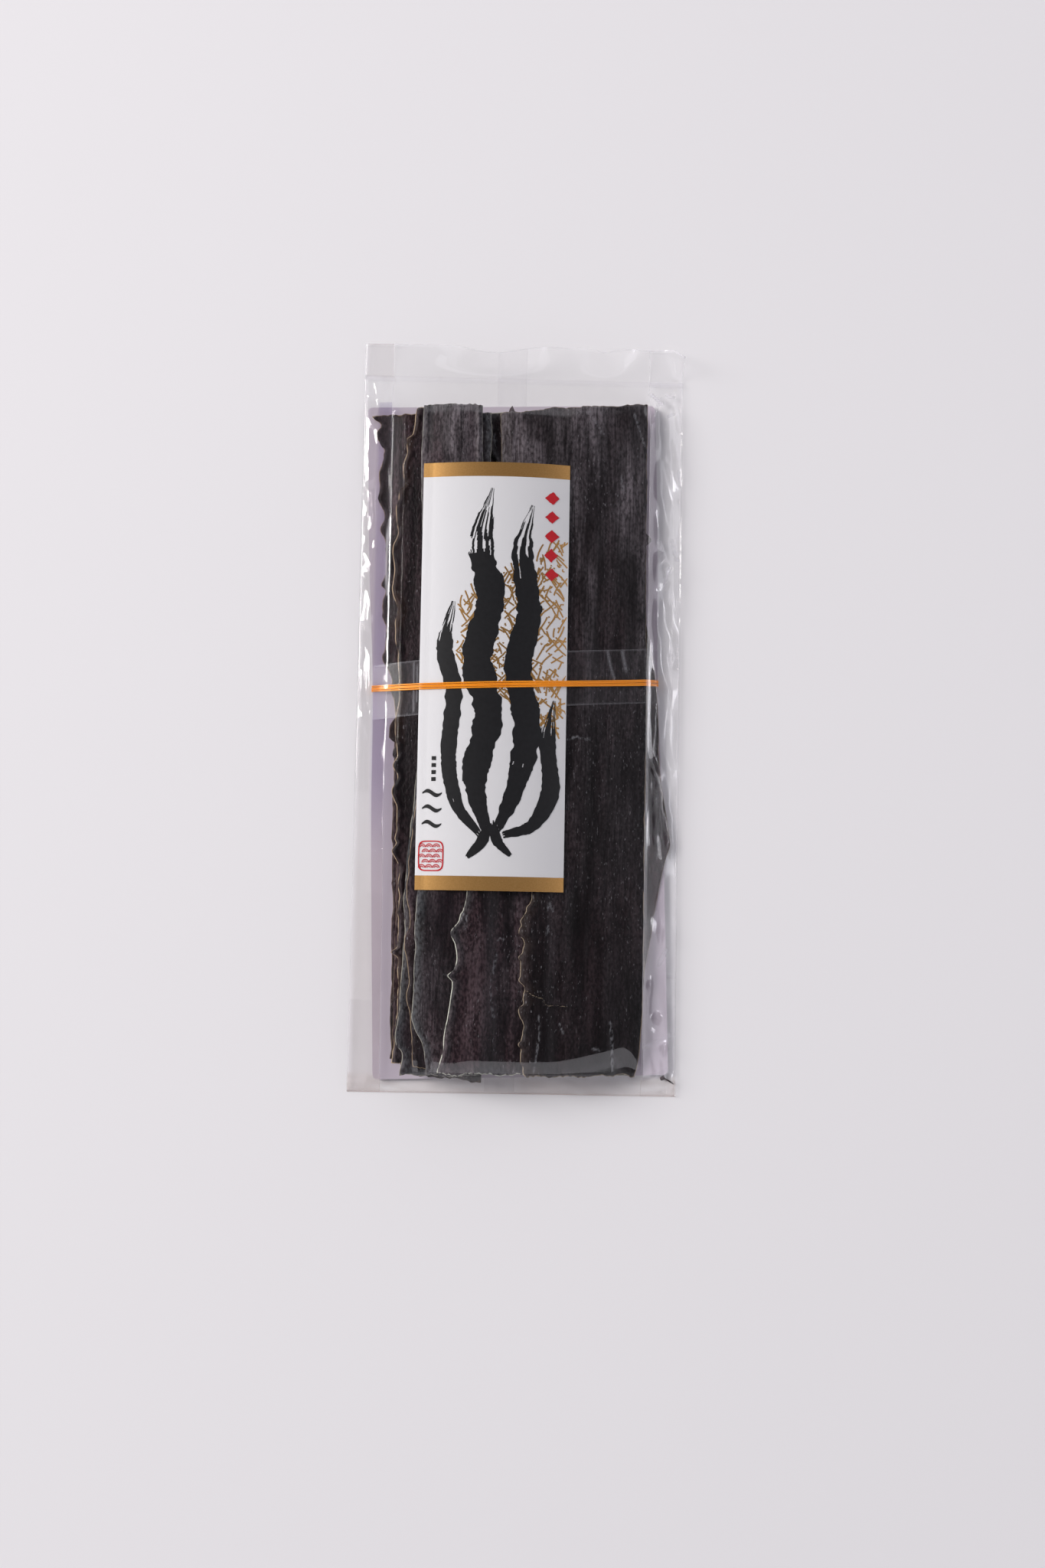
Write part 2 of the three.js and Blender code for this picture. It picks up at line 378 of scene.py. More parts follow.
def lay_strip(
    number, left, right, thickness, ends, ruffle=0.4, scallop=0.5, frill=0.0, ripple=0.25,
    bloom=(0.2, 0.2, 0.2), rim=0.2, rim_top=1.0, rim_width=0.5, frost=0.0, pale=0.2, brown=0.3,
    dark=0.0, columns=40, rows=130, slant=(0, 0), tabs=(), tear=None, scuffs=(),
):
    """Lays one strip on the stack, and raises the stack's plan to its top."""
    left_line, right_line = line_through(left), line_through(right)
    seed = 20 * number - 9  # each strip has its own random waves

    def wave(along, spacing, part):
        return soft_wave(along, spacing, seed + part)

    def left_at(y):
        beads = 0.4 + frill * ease((FRILL_Y - y) / 6)
        return left_line(y) + scallop * (wave(y, 6, 0) + beads * wave(y, 2.2, 1))

    def right_at(y):
        return right_line(y) + scallop * (wave(y, 7, 2) + 0.4 * wave(y, 2.5, 3))

    def bottom_at(x):
        return ends[0] + slant[0] * x + 0.8 * wave(x, 5, 4) + 0.4 * wave(x, 1.3, 5)

    def top_at(x):
        top = ends[1] + slant[1] * x + 0.7 * wave(x, 6, 6) + 0.4 * wave(x, 1.4, 7)
        for tab_x, tab_half, tab_height in tabs:
            top = top + tab_height * ease(1.5 - np.abs(x - tab_x) / tab_half)
        return top

    covered = (plan_x > left_at(plan_y)) & (plan_x < right_at(plan_y))
    covered &= (plan_y > bottom_at(plan_x)) & (plan_y < top_at(plan_x))
    support = drape(stack, covered, 5, 7)

    def side_distance(x, y):
        return np.maximum(np.minimum(x - left_at(y), right_at(y) - x), 0)

    def thickness_at(x, y):
        middle = ease(side_distance(x, y) / (MARGIN_SHARE * (right_at(y) - left_at(y))))
        return MARGIN_THICKNESS + (thickness - MARGIN_THICKNESS) * middle

    def ridges_at(x, y):
        wander = 3 * wave(y, 90, 8)
        broad = soft_relief(x + wander, y, *RIDGES, seed + 9)
        return 0.5 + 0.36 * broad + 0.14 * soft_relief(x + wander, y, *FINE_RIDGES, seed + 12)

    def above_tear(x, y):
        return y - tear(x) if tear else np.full(np.shape(x), BELOW_ANY_TEAR)

    def surface_at(x, y):
        from_side = side_distance(x, y)
        waves = 0.6 + 0.4 * wave(y, 9, 10) + 0.3 * wave(y, 3.2, 11)
        crest = np.maximum(waves, 0.1) * np.exp(-(((from_side - RUFFLE_IN) / RUFFLE_HALF) ** 2))
        height = height_on(support, x, y) + thickness_at(x, y) + ruffle * crest
        height = height + ripple * ridges_at(x, y) * ease(from_side / 6)
        above = above_tear(x, y)
        curled = np.where(above > 0, np.exp(-above / TEAR_FADE), 0) * ease((TEAR_END - x) / 12)
        return height + TEAR_LIFT * curled

    piece, across, along = grid_piece(f"kelp_strip_{number:02}", columns, rows)
    share = 0.35 * across + 0.65 * (0.5 - 0.5 * np.cos(math.pi * across))
    y = ends[0] + (ends[1] - ends[0]) * along
    x = left_at(y) + (right_at(y) - left_at(y)) * share
    y = bottom_at(x) + (top_at(x) - bottom_at(x)) * along
    x = left_at(y) + (right_at(y) - left_at(y)) * share
    place_corners(piece, x, y, surface_at(x, y))
    end_distance = np.maximum(np.minimum(y - bottom_at(x), top_at(x) - y), 0)
    from_edge = np.minimum(side_distance(x, y), end_distance)
    above = above_tear(x, y)
    torn = (above > -0.5) & (x < TEAR_END - 8)
    from_rim = np.where(torn, np.minimum(np.abs(above), from_edge), from_edge)
    # Bloom at a strip's bottom, middle and top. The large top values of the front strips are painted sheen
    # laid over the real bloom.
    bloom_and_sheen_at = line_through([(STRIP_BOTTOM, bloom[0]), (-30, bloom[1]), (STRIP_TOP, bloom[2])])
    # pale sets how far a rim is painted pale cream, a painted highlight; brown and rim are the strip's own
    # colour.
    mark(
        piece, from_edge=from_edge, rim_place=from_rim / rim_width, bloom=bloom_and_sheen_at(y),
        ridge=ease(ridges_at(x, y) * 1.6 - 0.35), frost=frost, pale=pale, dark=dark,
        scuff=np.max([0 * x] + [0.6 * near_line(x, y, *scuff) for scuff in scuffs], axis=0),
        brown=brown * (x - left_at(y) < right_at(y) - x),
        rim=rim * (1 - (1 - rim_top) * ease((y + 60) / 60)),
    )
    thicken(piece, thickness, thickness_at(x, y) / thickness)
    bpy.ops.object.shade_smooth()
    finish_piece(piece, kelp)
    strips.append(piece)
    stack[covered] = np.maximum(stack, surface_at(plan_x, plan_y))[covered]


# The belt, the label and the taut bag press the stack into one even bow. It is pressed flat
# under the label, and its folds stand up a little beside the label.
CROWN = 20.4
CROWN_X = -9.0
BOW_RADIUS = 120.0
BOW_HALF = 36.0  # beyond this the bow runs straight down to the stack's sides
SHOULDER_SLOPE = 0.24
LOWEST_PRESS = 6.0
FLAT_ZONE = ((-51.0, 24.5), (-89.0, 123.0))  # across and along
FOLD_ROOM = 1.4
FOOT_Y = -163.6
FOOT_BEND = 0.018  # the taut bag bends the stack down past there, this much per mm
FOOT_BEND_LENGTH = 13.0


def bow_height(x):
    from_crown = np.abs(x - CROWN_X)
    arc = np.minimum(from_crown, BOW_HALF) ** 2 / (2 * BOW_RADIUS)
    shoulder = SHOULDER_SLOPE * np.maximum(from_crown - BOW_HALF, 0)
    return np.maximum(CROWN - arc - shoulder, LOWEST_PRESS)


def pressed_top(x, y):
    """The surface that the taut bag presses the stack to."""
    (west, east), (south, north) = FLAT_ZONE
    past_zone = np.maximum.reduce([west - x, x - east, south - y, y - north])
    bend_start = FOOT_Y + 0.0032 * np.maximum(x - 2, 0) ** 2 + 1.1 * soft_wave(x, 14, 401)
    into_foot = np.maximum(bend_start - y, 0)
    bent = np.minimum(into_foot, FOOT_BEND_LENGTH)
    return bow_height(x) + FOLD_ROOM * ease(past_zone / 7) - FOOT_BEND * bent * (into_foot - bent / 2)


def press_stack(room_left, room_right, depth):
    """Presses down what stands above that surface less the room for strips to come."""

    def pressed(x, y, z):
        top = pressed_top(x, y) - room_right - (room_left - room_right) * ease((-10 - x) / 16)
        excess = np.maximum(z - (top - depth), 0)
        return np.where(excess > 0, top - depth * np.exp(-excess / depth), z)

    for strip in strips:
        x, y, z = corner_places(strip) / MM
        place_corners(strip, x, y, pressed(x, y, z))
    return pressed(plan_x, plan_y, stack)


def straight(bottom, middle, top):
    """An edge that only bows a little, by its x at the two ends and the middle of the pack."""
    return [(STRIP_BOTTOM, bottom), (0, middle), (STRIP_TOP, top)]


# Each strip's number, left and right edges, thickness and ends, and then what sets it apart.
# The lower strips come first, and most of them show only at their edges.
lay_strip(1, straight(-59, -61, -58), straight(59, 61, 60), 1.05, (-170, 147))
lay_strip(2, straight(-54, -57, -60), straight(52, 57, 55), 1.05, (-172, 148))
lay_strip(
    14,
    [(148, -56), (0, -59), (-8.2, -63.6), (-12.6, -63.6), (-16.4, -60), (-18.6, -61.2),
     (-21.6, -61.6), (-24.4, -59.6), (-40, -58), (-170, -58.6)],
    straight(-4, -8, -6), 1.0, (-170.5, 147), ruffle=1.2, scallop=0.3, columns=48, rows=260)
lay_strip(15, straight(2, 0, 4), straight(58, 59, 60), 1.0, (-172.5, 147))
# Its ruffled, nubbly edge shows far out at the upper left
lay_strip(
    3,
    [(149, -75), (147.7, -74.9), (144.3, -70.6), (138.8, -73.4), (134.2, -70.8), (130.4, -69.8),
     (118.7, -71.6), (106, -71), (98.4, -67.6), (90.6, -70.2), (84.5, -67.1), (69.2, -66.4),
     (63.4, -69.2), (59.7, -66.2), (54.7, -68.1), (47, -68), (41.3, -65.6), (30, -67),
     (27.4, -68.4), (20, -64), (0, -61), (-60, -56), (-176, -52)],
    [(149, 5), (0, 8), (-176, 10)],
    1.0, (-172, 148.5), ruffle=1.2, scallop=0.7, bloom=(0.3, 0.2, 0.3), rim=0.6,
    columns=56, rows=260)
# It stands out to a blunt corner on the right
lay_strip(
    4, [(150, -8), (0, -5), (-172, 2)],
    [(147, 57), (60, 61), (15, 68.2), (-1.4, 69.2), (-20.4, 70.1), (-37, 72), (-48.3, 74),
     (-60, 75.8), (-62.5, 76), (-69.4, 74), (-76.9, 72.3), (-88.2, 70.1), (-101, 68),
     (-112.6, 66.2), (-124.2, 64), (-140, 60), (-171, 54)],
    1.0, (-171, 147), ruffle=0.5, scallop=0.2, bloom=(0.5, 0.5, 0.3), rim=0.3,
    columns=56, rows=240)
lay_strip(
    5, [(150, -30), (0, -34), (-176, -32)], [(150, 61.5), (0, 60), (-176, 58)],
    1.05, (-174.5, 147.8), rows=200, columns=90,
    tabs=((-6.6, 1.5, 4.2), (-4.2, 2.4, 2.6), (2.4, 2.8, 2.4)))
# Its end sticks out as a slanted tab at the bottom left
lay_strip(
    6, [(150, -52), (0, -50), (-176, -50)],
    [(150, 40), (0, 30), (-140, -8), (-170, -14), (-184, -15)],
    1.05, (-181.6, 148), slant=(-0.1, 0))
lay_strip(16, straight(4, -2, -2), straight(57, 60, 61), 1.0, (-171.5, 147))
lay_strip(17, straight(-53, -56, -52), straight(-6, -3, -8), 1.0, (-171, 147))
# Its slanting edge shows in the gap at the top, its rim painted pale cream, a painted highlight
lay_strip(
    11,
    [(152, -24), (134, -19.2), (129, -16.6), (123, -12.4), (112, -9), (0, -12), (-176, -8)],
    [(150, 58), (0, 59), (-176, 56)],
    1.0, (-175.5, 149), ruffle=0.8, scallop=0.2, rim=0.8, frost=0.6, pale=0.9,
    rows=200, scuffs=(([(-17.5, 146), (-16, 140)], 0.6), ([(-15.5, 138), (-13.5, 134)], 0.6)))
stack = press_stack(5.0, 2.5, 1.6)
# The long tan wavy edge on the left
lay_strip(
    7,
    [(150.8, -53.4), (137.8, -55.4), (135.5, -58.3), (128.2, -57.8), (122.8, -59.6), (112, -59),
     (109.8, -61.4), (94.4, -62.4), (88.7, -61), (81, -63.6), (71.4, -62.8), (61.8, -63.6),
     (48.5, -60.8), (42.8, -61.8), (29.5, -60.2), (8, -59), (-8.4, -60.6), (-21.6, -58.9),
     (-26.9, -61.7), (-32.5, -58.8), (-40.4, -61.5), (-48, -58.6), (-57.4, -58.5), (-62.8, -59.9),
     (-65, -58.7), (-69, -60.2), (-77.1, -57), (-90.8, -56.7), (-115.6, -56.9), (-118, -60),
     (-120.6, -56.8), (-143, -56), (-172, -58.4)],
    [(150, -28), (0, -30), (-172, -28)],
    1.05, (-171.6, 150.8), ruffle=1.5, scallop=0.5, bloom=(1.4, 0.2, 0.2), rim=1.0,
    brown=0.7, dark=0.5, columns=60, rows=420)
lay_strip(
    8,
    [(150, -44), (0, -47), (-80, -53.5), (-94.5, -54.1), (-105, -53.4), (-116.6, -54),
     (-135, -54.6), (-150, -55.4), (-159, -56.6), (-162.5, -56), (-166, -53.2), (-176, -54.4)],
    [(150, -24), (0, -26), (-176, -24)],
    0.85, (-177, 149.5), ruffle=0.9, scallop=0.3, bloom=(1.2, 0.3, 0.3), rim=0.5,
    frost=0.7, pale=0.7, columns=44, rows=240)
lay_strip(
    9,
    [(150, -40), (0, -44), (-88, -52.6), (-105, -50.9), (-112, -53.2), (-130, -50.6),
     (-138, -52), (-146, -50.6), (-150, -49.4), (-172, -48.2)],
    [(150, -22), (0, -20), (-176, -22)],
    0.85, (-173, 149), ruffle=1.0, scallop=0.4, rim=0.6, frost=0.1, columns=44, rows=240)
lay_strip(
    10,
    [(150, -34), (0, -38), (-100, -48), (-132, -48.3), (-149, -49), (-155, -47),
     (-162, -43.6), (-174, -41.6)],
    [(150, -16), (0, -14), (-176, -16)],
    0.85, (-176, 148), ruffle=1.0, scallop=0.4, bloom=(1.2, 0.4, 0.3), rim=0.4,
    frost=0.9, pale=0.8, columns=44, rows=240)
# The greenish grey strip at the front left, with a rolled edge below the label whose rim is painted pale
# cream, a painted highlight
lay_strip(
    12,
    [(151, -49.6), (125, -50.4), (90, -49), (0, -42), (-60, -28), (-80, -23.4), (-89.1, -23.6),
     (-97.5, -25.3), (-99.2, -26.4), (-102.5, -27.2), (-108.3, -31.2), (-114.2, -28.7),
     (-120, -27.9), (-125.8, -29.1), (-128.8, -32), (-131.7, -29.8), (-139.9, -30.4),
     (-146.6, -31.3), (-157.3, -33.2), (-165.5, -33.8), (-174.7, -36.1)],
    [(151, -20.6), (123, -19.8), (110, -16), (60, 0), (0, 8), (-176, 14)],
    1.05, (-176, 150.2), ruffle=2.0, scallop=0.15, ripple=1.5, bloom=(0.5, 0.6, 3.4),
    rim=1.0, rim_top=0.2, rim_width=0.55, frost=0.35, pale=1.0, brown=0.2,
    columns=84, rows=440, slant=(0, -0.03),
    scuffs=(([(-8.2, -111.6), (-7.2, -110.2), (-5.8, -110.2), (-5.2, -111.4)], 0.5),
            ([(-8.6, -118), (-9.6, -124), (-10.8, -131)], 0.7),
            ([(-11.4, -134), (-10.6, -142), (-9.4, -148.8)], 0.5),
            ([(-27.6, -99), (-25.8, -96.6), (-26.8, -94.8)], 0.6),
            ([(-23.4, -100), (-23.8, -106)], 0.5),
            ([(-25.9, -96.4), (-24.7, -99), (-25.9, -101.4), (-27.2, -99.2), (-25.9, -96.4)], 0.35)))
# The broad dark strip at the front right. Its frilled tan edge runs along the middle, and it is
# torn in from that edge near the bottom.
TORN_EDGE = line_through([
    (3, -132), (5.5, -134.9), (9.7, -138), (14, -139.3), (15.4, -142.2), (22, -142.6), (30, -143.3),
])
lay_strip(
    13,
    [(151, -12.4), (140, -11.2), (120, -10.4), (0, -2), (-80, 8), (-90.2, 7.6), (-96.9, 5.2),
     (-102.8, 2.8), (-108, 2.4), (-112.8, 4.2), (-119.5, 2.3), (-124.4, 2.4), (-131.5, 3),
     (-134.7, 5.2), (-141.8, 5), (-143.9, 3.1), (-148.4, 3.9), (-152.6, 4.6), (-160.9, 3.1),
     (-165.8, 4), (-175.6, 5.4)],
    [(153, 62), (109, 61.9), (91.4, 62), (89.4, 64.2), (88, 64.6), (86.6, 64), (84.8, 62.2),
     (0, 63.2), (-84.7, 63.1), (-118, 63.5), (-140.5, 63.4), (-162.7, 62), (-175.2, 60.1)],
    1.3, (-176.9, 149.7), ruffle=1.4, scallop=0.3, frill=2.0, ripple=1.8,
    bloom=(0.3, 0.4, 3.0), rim=0.8, rim_top=0.4, frost=0.1, pale=0.3, brown=0.4, dark=0.7,
    columns=96, rows=440, slant=(0.02, 0.11), tear=TORN_EDGE,
    scuffs=(([(15.3, -96.5), (16.5, -93), (18.3, -97)], 0.6), ([(16.2, -104), (15.4, -108)], 0.5),
            ([(12.3, -147.3), (12.8, -155.7), (11.4, -166), (10.2, -174)], 0.45),
            ([(22.3, -150.8), (24.2, -155.5)], 0.5),
            ([(47.2, -150), (48, -160), (48.6, -175)], 0.7),
            ([(38.6, -162.6), (42, -163.4)], 0.7),
            ([(24.5, -13.1), (28, -11.8), (34.6, -12.9)], 0.6),
            ([(31.4, 151), (36, 144), (39.6, 139.4)], 0.35),
            ([(55, 151), (58, 143), (60.4, 135.3)], 0.6), ([(48.4, 119.3), (50, 111.6)], 0.4)))
stack = press_stack(0.0, 0.0, 1.2)


# Film belt. A loop of clear film, welded into a ring and slid over the card and the kelp
# before the label goes on. It holds the strips in place.

BELT_WIDTH = 27.0
BELT_Y = 14.9  # its middle, at the middle of the pack
BELT_RISE = 0.078  # it slants up to the right
BELT_GAP = 0.15
BELT_STEPS = 480
# A brownish grey milk tint: painted shade at the bag's foot and in its left fold.
PAINTED_SHADE_TINT = "c6b4ae"


def taut_over(x, z):
    """The stretched line over the tops of points that go from left to right."""
    kept = []
    for point in zip(x, z):
        while len(kept) > 1:
            (x0, z0), (x1, z1) = kept[-2:]
            if (x1 - x0) * (point[1] - z0) < (z1 - z0) * (point[0] - x0):
                break
            kept.pop()
        kept.append(point)
    return np.array(kept)


def loop_round_stack(middle_y, rise, half_width, gap, count):
    """A closed loop's x and z at even steps: taut over the stack and flat behind the card."""
    across = np.arange(-72.2, 68.9, 0.5)
    lanes = np.linspace(-half_width, half_width, 9)
    tops = [height_on(stack, across, middle_y + rise * across + lane) for lane in lanes]
    over = taut_over(across, np.maximum(np.max(tops, axis=0), CARD_TOP) + gap)
    over[0, 1] = over[-1, 1] = CARD_TOP
    west, east, back = over[0, 0] - gap, over[-1, 0] + gap, CARD_BOTTOM - gap
    under = np.array([[east, CARD_TOP], [east, back], [west, back], [west, CARD_TOP]])
    corners = np.vstack((over, under, over[:1]))
    walked = np.concatenate(([0], np.cumsum(np.hypot(*np.diff(corners, axis=0).T))))
    even = np.linspace(0, walked[-1], count + 1)
    return np.interp(even, walked, corners[:, 0]), np.interp(even, walked, corners[:, 1])


def weld(gap):
    """Joins the active mesh's corners that meet, turns its faces outward and shades it smooth."""
    set_mode("EDIT")
    bpy.ops.mesh.select_all(action="SELECT")
    bpy.ops.mesh.remove_doubles(threshold=gap * MM)
    bpy.ops.mesh.normals_make_consistent(inside=False)
    set_mode("OBJECT")
    bpy.ops.object.shade_smooth()


def clear_film(name, milk_colour, gloss_roughness):
    """Glossy clear plastic film. It mirrors by angle and is milky where marked. Two marks paint shade: one
    darkens what shows through, one tints the milk brownish grey.
    """
    film = bare_nodes(bpy.data.materials.new(name))
    marks = {}
    for part in ("milky", "folded", "dusty", "shine"):
        marks[part] = add_node(film, "Attribute", out="Fac", attribute_name=part)
    tones = []
    for part, bare, full in (("folded", "ffffff", "f4f3f8"), ("dusty", milk_colour, PAINTED_SHADE_TINT)):
        mixed = {"Factor": marks[part], "A": linear(bare), "B": linear(full)}
        tones.append(add_node(film, "Mix", mixed, out="Result", data_type="RGBA"))
    clear = add_node(film, "BsdfTransparent", {"Color": tones[0]})
    lit_milk = add_node(film, "BsdfDiffuse", {"Color": tones[1]})
    backlit_milk = add_node(film, "BsdfTranslucent", {"Color": tones[1]})
    milk = add_node(film, "MixShader", {0: 0.5, 1: lit_milk, 2: backlit_milk})
    body = add_node(film, "MixShader", {0: marks["milky"], 1: clear, 2: milk})
    gloss = add_node(film, "BsdfGlossy", {"Roughness": gloss_roughness})
    facing = add_node(film, "LayerWeight", {"Blend": 0.5}, out="Facing")
    grazing = add_node(film, "Math", {0: facing, 1: 5.0}, operation="POWER")
    mirror = add_node(film, "Math", {0: grazing, 1: 0.5, 2: 0.06}, operation="MULTIPLY_ADD")
    mirror = add_node(film, "Math", {0: mirror, 1: marks["shine"]}, operation="MULTIPLY")
    both = add_node(film, "MixShader", {0: mirror, 1: body, 2: gloss})
    add_node(film, "OutputMaterial", {"Surface": both})
    return film


belt, around, lane = grid_piece("film_belt", BELT_STEPS, 24)
loop_x, loop_z = loop_round_stack(BELT_Y, BELT_RISE, BELT_WIDTH / 2, BELT_GAP, BELT_STEPS)
station = np.round(around * BELT_STEPS).astype(int)
x, z = loop_x[station], loop_z[station]
y = BELT_Y + BELT_RISE * x + (lane - 0.5) * BELT_WIDTH
place_corners(belt, x, y, z)
at_belt_edge = (0.5 - np.abs(lane - 0.5)) * BELT_WIDTH < 0.1
# Painted highlights: white milk along the belt's wrinkles where they would mirror the light. The extra milk
# on its left slope is a painted sheen.
BELT_GLINT_LINES = (
    ([(43.1, 31), (44.6, 24), (46.6, 17.6)], 0.8), ([(50.6, 31), (51.6, 26), (52.6, 22)], 1.0),
    ([(-51.8, 23), (-51.4, -1)], 0.5), ([(-50.2, 22), (-49.9, 4)], 0.4),
)
belt_glints = np.max([near_line(x, y, *line) for line in BELT_GLINT_LINES], axis=0) * (z > CARD_TOP + 1)
mark(belt, milky=0.028 + 0.04 * (x < -48) + 0.2 * at_belt_edge + 0.3 * belt_glints, shine=0.12)
weld(0.02)
finish_piece(belt, clear_film("clear_belt_film", "dcdce4", 0.12))


# Label. A long slip of coated white paper laid on the front, bowed over the stack, with a
# matt gold band printed across each end.

LABEL_WIDTH = 72.0
LABEL_LENGTH = 210.0
LABEL_CENTRE = (-12.9, 17.2)
LABEL_THICKNESS = 0.15
LABEL_GAP = 0.1
GOLD_BAND = 7.0
INK_LIFT = 0.05
INK_STEP = 0.01  # each ink printed over another lies this much higher


def label_height(x):
    """The label's face, which lies on the bow of the stack."""
    return bow_height(x) + LABEL_GAP + LABEL_THICKNESS


label, across, along = grid_piece("paper_label", 48, 60)
x = LABEL_CENTRE[0] + (across - 0.5) * LABEL_WIDTH
y = LABEL_CENTRE[1] + (along - 0.5) * LABEL_LENGTH
place_corners(label, x, y, label_height(x))
thicken(label, LABEL_THICKNESS, np.ones(len(x)))

# Coated label paper: smooth, white and satin, with a very faint fibre tooth of 1.11 mm, coarser
# than the real one so that it shows.
paper = bare_nodes(bpy.data.materials.new("coated_label_paper"))
place = add_node(paper, "TexCoord", out="Object")
tooth = add_node(paper, "TexNoise", {"Vector": place, "Scale": 1 / (1.11 * MM), "Detail": 2.0})
bump = add_node(paper, "Bump", {"Height": tooth, "Strength": 0.1, "Distance": 0.05 * MM})
satin = {"Base Color": linear("dadadd"), "Roughness": 0.38, "Normal": bump}
add_node(paper, "OutputMaterial", {"Surface": add_node(paper, "BsdfPrincipled", satin)})
finish_piece(label, paper)

# Matt gold ink: metal flake in a clear binder, so it shines softly and unevenly. The flake is
# drawn at 0.667 mm, coarser than it is, so that it shows.
gold = mottled("matt_gold_ink", "aa8047", "c69a5f", 0.667, 2.0, {"Metallic": 0.75, "Roughness": 0.4})


def print_on_label(piece, u, v, layer, ink):
    """Lays a printed shape on the label. u and v are places from the label's centre."""
    x = LABEL_CENTRE[0] + u
    place_corners(piece, x, LABEL_CENTRE[1] + v, label_height(x) + INK_LIFT + layer * INK_STEP)
    finish_piece(piece, ink)


for name, start in (("top", LABEL_LENGTH / 2 - GOLD_BAND), ("bottom", -LABEL_LENGTH / 2)):
    band, across, along = grid_piece("gold_band_" + name, 48, 2)
    print_on_label(band, (across - 0.5) * LABEL_WIDTH, start + along * GOLD_BAND, 0, gold)


# Print on the label: a tall kelp plant brushed in black over a drift of cut gold leaf, with a
# column of red lozenges, a few small black marks and a red wave-pattern stamp. All of it is
# flat ink with soft uneven cover.

TOP_LAYER = 10

# Brush and stamp ink: flat and matt, and a little thin in places.
FLAT_INK = {"Roughness": 0.5, "Specular IOR Level": 0.25}
black_ink = mottled("black_brush_ink", "1b1b1e", "0c0c0f", 2.0, 3.0, FLAT_INK)
red_ink = mottled("red_stamp_ink", "c8202c", "b0101f", 2.0, 3.0, FLAT_INK)


def copied_grid(name, count, columns, rows):
    """Joined copies of one small grid, with each corner's copy and its place in that copy."""
    piece, across, along = grid_piece(name, columns, rows)
    copies = piece.modifiers.new("copies", "ARRAY")
    copies.count = count
    bpy.ops.object.modifier_apply(modifier=copies.name)
    return piece, np.repeat(np.arange(count), len(across)), np.tile(across, count), np.tile(along, count)


def delete_faces(piece, across, along, is_bare):
    """Deletes the faces whose middles, by these corner places, are bare."""
    corners = np.empty(len(piece.data.loops), np.int32)
    piece.data.loops.foreach_get("vertex_index", corners)
    middles = [values[corners].reshape(-1, 4).mean(axis=1) for values in (across, along)]
    set_mode("EDIT")
    bpy.ops.mesh.select_mode(type="FACE")
    bpy.ops.mesh.select_all(action="DESELECT")
    set_mode("OBJECT")
    piece.data.polygons.foreach_set("select", is_bare(*middles))
    set_mode("EDIT")
    bpy.ops.mesh.delete(type="FACE")
    bpy.ops.mesh.select_mode(type="VERT")
    set_mode("OBJECT")


# Cut gold leaf: bent slivers that lie mostly two ways, and specks
LEAF_COUNT = 460
LEAF_WIDTH = 0.75
drift = np.random.default_rng(701)
sliver, number, across, along = copied_grid("gold_slivers", LEAF_COUNT, 4, 1)
from_right = 1 - np.sqrt(drift.uniform(0.02, 1, LEAF_COUNT))
leaf_v = 16 + 9 * from_right + 52 * (1 - 0.82 * from_right) * drift.uniform(-1, 1, LEAF_COUNT)
leaf_length = drift.uniform(3.5, 10, LEAF_COUNT) * np.where(drift.uniform(0, 1, LEAF_COUNT) < 0.35, 0.2, 1)
leaf_turn = np.radians(np.where(drift.uniform(0, 1, LEAF_COUNT) < 0.55, -48, 60))
leaf_turn = (leaf_turn + np.radians(drift.normal(0, 17, LEAF_COUNT)))[number]
leaf_bend = drift.uniform(-0.6, 0.6, LEAF_COUNT)
reach = (across - 0.5) * leaf_length[number]
aside = (along - 0.5) * LEAF_WIDTH + leaf_bend[number] * (4 * (across - 0.5) ** 2 - 0.5)
u = 34 - 62 * from_right[number] + reach * np.cos(leaf_turn) - aside * np.sin(leaf_turn)
v = leaf_v[number] + reach * np.sin(leaf_turn) + aside * np.cos(leaf_turn)
print_on_label(sliver, np.clip(u, 0.4 - LABEL_WIDTH / 2, LABEL_WIDTH / 2 - 0.4), v, 1, gold)


DRY_END = 0.3  # share of a stroke over which the brush runs dry


def brush_stroke(name, path, layer, seed):
    """A brush stroke through (u, v, half width) points, which runs dry towards its end."""
    piece, across, along = grid_piece(name, 26, 200)
    u_at, v_at, half_at = (
        line_through([(i, point[part]) for i, point in enumerate(path)]) for part in range(3)
    )
    t = along * (len(path) - 1)
    run_u, run_v = u_at(t + 0.02) - u_at(t - 0.02), v_at(t + 0.02) - v_at(t - 0.02)
    run = np.maximum(np.hypot(run_u, run_v), 1e-6)
    walked = along * np.hypot(*np.diff(np.array(path)[:, :2], axis=0).T).sum()
    side = 2 * across - 1
    edge = 1 + 0.13 * soft_wave(walked, 3.6, seed + 7 * (side > 0)) + 0.06 * soft_wave(walked, 1.2, seed + 3)
    aside = side * np.maximum(half_at(t), 0.2) * edge / run
    width = 2 * max(point[2] for point in path)

    def is_bare(across, along):
        streaks = soft_relief(across * width, along * walked.max(), 0.8, 13, seed + 4)
        tips = ease((along - 1 + DRY_END) / DRY_END) + 0.5 * ease((0.03 - along) / 0.03)
        margins = ease((0.1 - np.minimum(across, 1 - across)) / 0.1)
        return streaks > 0.95 - 1.15 * tips - 0.35 * margins

    print_on_label(piece, u_at(t) - run_v * aside, v_at(t) + run_u * aside, layer, black_ink)
    delete_faces(piece, across, along, is_bare)


